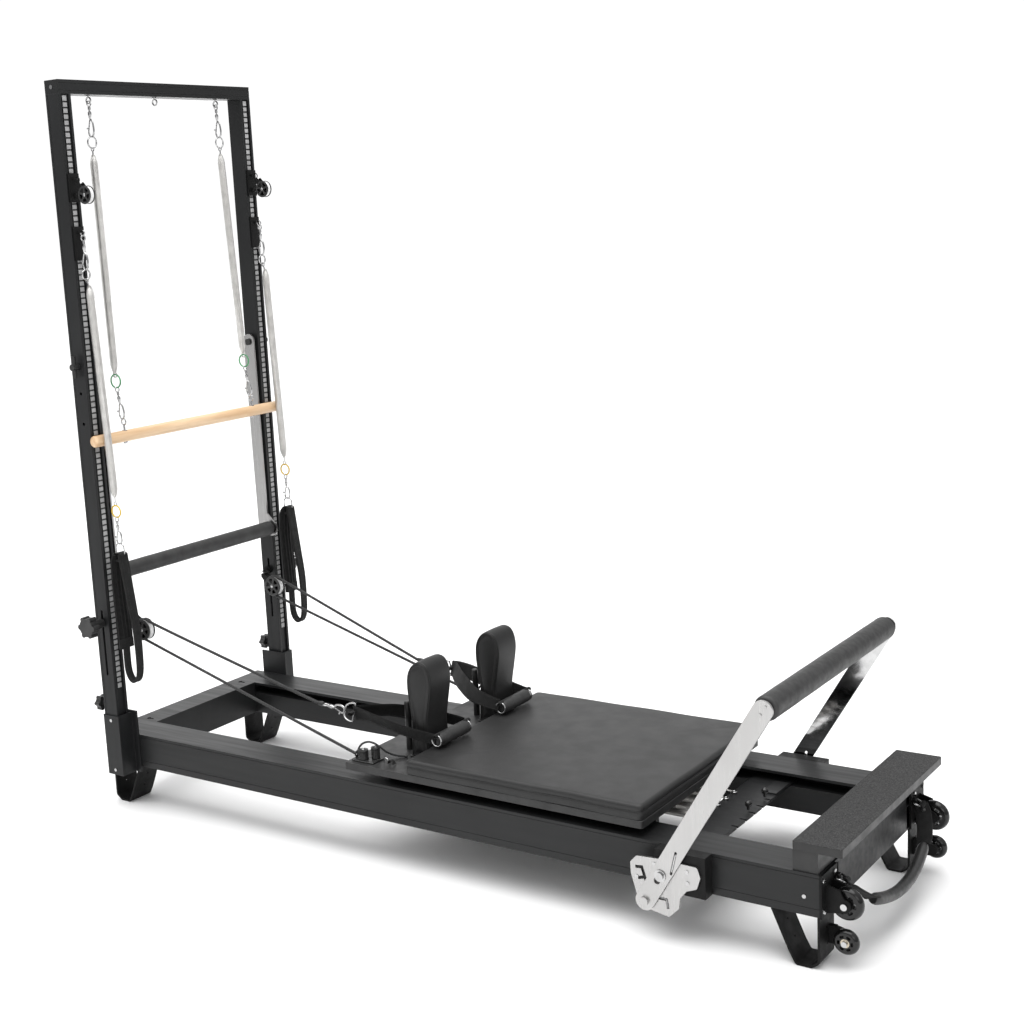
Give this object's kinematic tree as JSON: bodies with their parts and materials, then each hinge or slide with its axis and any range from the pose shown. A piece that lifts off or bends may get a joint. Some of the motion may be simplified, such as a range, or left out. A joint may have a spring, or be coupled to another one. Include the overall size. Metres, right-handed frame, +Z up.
{
  "type": "pilates reformer",
  "caption": "Black pilates reformer with sliding upholstered carriage, footbar, half tower with springs, roll-down bar, push-through bar and pulleys.",
  "frame": {"origin": "on the floor, in the middle of the whole machine's length and width", "axes": "+X from the tower end to the foot end, +Z up; +Y to the left of a user who lies on the carriage with their feet on the footbar"},
  "size_m": [2.42, 0.954, 2.205],
  "materials": {
    "frame_black": "satin anodised black",
    "coated_black": "fine black powder coat",
    "satin_steel": "satin",
    "dark_bar_steel": "satin",
    "plated_steel": "plated wire and hardware",
    "spring_steel": "close-wound spring wire",
    "rack_grey": "grey toothed strip",
    "black_leather": "smooth upholstery",
    "black_foam": "closed-cell foam",
    "grip_board": "coarse anti-slip grain",
    "black_webbing": "woven",
    "black_rope": "braided",
    "black_plastic": "moulded",
    "wheel_black": "glossy",
    "sheave_white": "clear white nylon",
    "beech": "natural oiled beech"
  },
  "bodies": {
    "frame": {"rail_right": "frame_black", "rail_left": "frame_black", "cross_beams": "frame_black", "support_legs": "coated_black", "wheel_brackets": "coated_black", "standing_board": "grip_board", "board_riser": "coated_black", "spring_bar": "frame_black", "post_right": "frame_black", "post_left": "frame_black", "top_beam": "frame_black", "post_sleeves": "frame_black", "post_racks": "rack_grey", "top_eye_bolts": "plated_steel", "riser_pulley_blocks": "coated_black", "footbar_side_plates": "satin_steel", "plate_spacers": "coated_black", "frame_screws": "plated_steel", "pulley_ropes": "black_rope", "carriage_springs": "spring_steel", "rolldown_springs": "spring_steel"},
    "carriage": {"carriage_base": "coated_black", "carriage_pad": "black_leather", "carriage_chassis": "frame_black", "rope_posts": "black_plastic", "rope_reels": "black_plastic", "hand_straps": "black_webbing", "hand_grips": "black_foam", "strap_fittings": "plated_steel"},
    "tower_side_wheels": {"tower_side_wheels": "black_plastic"},
    "foot_side_wheels": {"foot_side_wheels": "black_plastic"},
    "shoulder_rest_right": {"shoulder_rest_right": "black_leather"},
    "shoulder_rest_left": {"shoulder_rest_left": "black_leather"},
    "spring_knob_right": {"spring_knob_right": "black_plastic"},
    "spring_knob_left": {"spring_knob_left": "black_plastic"},
    "footbar_pivots": {"footbar_pivots": "plated_steel"},
    "footbar": {"footbar_arms": "satin_steel", "footbar_roll": "black_foam", "footbar_springs": "spring_steel"},
    "large_wheels": {"large_wheels": "wheel_black"},
    "small_wheels": {"small_wheels": "wheel_black"},
    "carry_handle": {"handle_straps": "black_webbing", "handle_grip": "black_foam"},
    "push_bar": {"push_bar_arms": "dark_bar_steel", "push_bar_roll": "black_foam"},
    "t_handles": {"t_handles": "black_plastic"},
    "rolldown_set": {"rolldown_dowel": "beech", "dowel_fittings": "plated_steel"},
    "upper_carriers": {"upper_carriers": "coated_black"},
    "lower_carriers": {"lower_carriers": "coated_black"},
    "arm_spring_right": {"arm_spring_right": "plated_steel", "arm_loop_right": "black_webbing"},
    "arm_spring_left": {"arm_spring_left": "plated_steel", "arm_loop_left": "black_webbing"},
    "tower_pulley_blocks": {"tower_pulley_blocks": "coated_black"},
    "tower_sheaves": {"tower_sheaves": "sheave_white"},
    "riser_sheaves": {"riser_sheaves": "sheave_white"},
    "upper_star_knobs": {"upper_star_knobs": "black_plastic"},
    "lower_star_knob_right": {"lower_star_knob_right": "black_plastic"},
    "lower_star_knob_left": {"lower_star_knob_left": "black_plastic"}
  },
  "joints": [
    {"name": "carriage_slide", "type": "slide", "parent": "frame", "child": "carriage", "axis": [1, 0, 0], "range_m": [-0.78, 0], "stiffness_N_per_m": 60, "springref_m": 0.3, "deforming": ["pulley_ropes", "carriage_springs"]},
    {"name": "tower_side_wheels_spin", "type": "hinge", "parent": "carriage", "child": "tower_side_wheels", "pos_m": [-0.15, 0, 0.2113], "axis": [0, 1, 0], "continuous": true},
    {"name": "foot_side_wheels_spin", "type": "hinge", "parent": "carriage", "child": "foot_side_wheels", "pos_m": [0.58, 0, 0.2113], "axis": [0, 1, 0], "continuous": true},
    {"name": "shoulder_rest_right_lift", "type": "slide", "parent": "carriage", "child": "shoulder_rest_right", "axis": [0, 0, 1], "range_m": [0, 0.12]},
    {"name": "shoulder_rest_left_lift", "type": "slide", "parent": "carriage", "child": "shoulder_rest_left", "axis": [0, 0, 1], "range_m": [0, 0.12]},
    {"name": "spring_knob_right_lift", "type": "slide", "parent": "frame", "child": "spring_knob_right", "axis": [0, 0, 1], "range_m": [0, 0.02]},
    {"name": "spring_knob_left_lift", "type": "slide", "parent": "frame", "child": "spring_knob_left", "axis": [0, 0, 1], "range_m": [0, 0.02]},
    {"name": "footbar_turn", "type": "hinge", "parent": "frame", "child": "footbar_pivots", "pos_m": [0.741, 0, 0.174], "axis": [0, 1, 0], "range_deg": [-39, 59]},
    {"name": "footbar_lift", "type": "slide", "parent": "footbar_pivots", "child": "footbar", "axis": [0.5114, 0, 0.8593], "range_m": [0, 0.018], "stiffness_N_per_m": 400, "springref_m": -0.15, "deforming": ["footbar_springs"]},
    {"name": "large_wheels_spin", "type": "hinge", "parent": "frame", "child": "large_wheels", "pos_m": [1.169, 0, 0.159], "axis": [0, 1, 0], "continuous": true},
    {"name": "small_wheels_spin", "type": "hinge", "parent": "frame", "child": "small_wheels", "pos_m": [1.17, 0, 0.069], "axis": [0, 1, 0], "continuous": true},
    {"name": "carry_handle_turn", "type": "hinge", "parent": "frame", "child": "carry_handle", "pos_m": [1.131, 0, 0.204], "axis": [0, -1, 0], "range_deg": [0, 80]},
    {"name": "push_bar_swing", "type": "hinge", "parent": "frame", "child": "push_bar", "pos_m": [-1.132, 0, 1.382], "axis": [0, 1, 0], "range_deg": [0, 120]},
    {"name": "t_handles_turn", "type": "hinge", "parent": "frame", "child": "t_handles", "pos_m": [-1.132, 0, 1.382], "axis": [0, 1, 0], "continuous": true},
    {"name": "rolldown_pull", "type": "slide", "parent": "frame", "child": "rolldown_set", "axis": [0, 0, 1], "range_m": [-0.32, 0], "stiffness_N_per_m": 120, "springref_m": 0.2, "deforming": ["rolldown_springs"]},
    {"name": "upper_carriers_slide", "type": "slide", "parent": "frame", "child": "upper_carriers", "axis": [0, 0, 1], "range_m": [-0.03, 0.2]},
    {"name": "lower_carriers_slide", "type": "slide", "parent": "frame", "child": "lower_carriers", "axis": [0, 0, 1], "range_m": [-0.05, 0.03]},
    {"name": "arm_spring_right_swing", "type": "hinge", "parent": "lower_carriers", "child": "arm_spring_right", "pos_m": [-1.086, 0, 1.772], "axis": [0, -1, 0], "range_deg": [0, 60]},
    {"name": "arm_spring_left_swing", "type": "hinge", "parent": "lower_carriers", "child": "arm_spring_left", "pos_m": [-1.086, 0, 1.772], "axis": [0, -1, 0], "range_deg": [0, 60]},
    {"name": "tower_pulley_swing", "type": "hinge", "parent": "upper_carriers", "child": "tower_pulley_blocks", "pos_m": [-1.086, 0, 1.924], "axis": [0, -1, 0], "range_deg": [0, 60]},
    {"name": "tower_sheaves_spin", "type": "hinge", "parent": "tower_pulley_blocks", "child": "tower_sheaves", "pos_m": [-1.051, 0, 1.877], "axis": [0, 1, 0], "continuous": true},
    {"name": "riser_sheaves_spin", "type": "hinge", "parent": "frame", "child": "riser_sheaves", "pos_m": [-1.06, 0, 0.563], "axis": [0, 1, 0], "continuous": true},
    {"name": "upper_star_knobs_turn", "type": "hinge", "parent": "frame", "child": "upper_star_knobs", "pos_m": [-1.131, 0, 0.6], "axis": [0, 1, 0], "continuous": true},
    {"name": "lower_star_knob_right_turn", "type": "hinge", "parent": "frame", "child": "lower_star_knob_right", "pos_m": [-1.194, -0.3854, 0.333], "axis": [1, 0, 0], "continuous": true},
    {"name": "lower_star_knob_left_turn", "type": "hinge", "parent": "frame", "child": "lower_star_knob_left", "pos_m": [-1.194, 0.3854, 0.333], "axis": [1, 0, 0], "continuous": true}
  ],
  "couplings": [
    {"joint": "tower_side_wheels_spin", "follows": "carriage_slide", "rad_per_m": 76.923},
    {"joint": "foot_side_wheels_spin", "follows": "carriage_slide", "rad_per_m": 76.923}
  ]
}
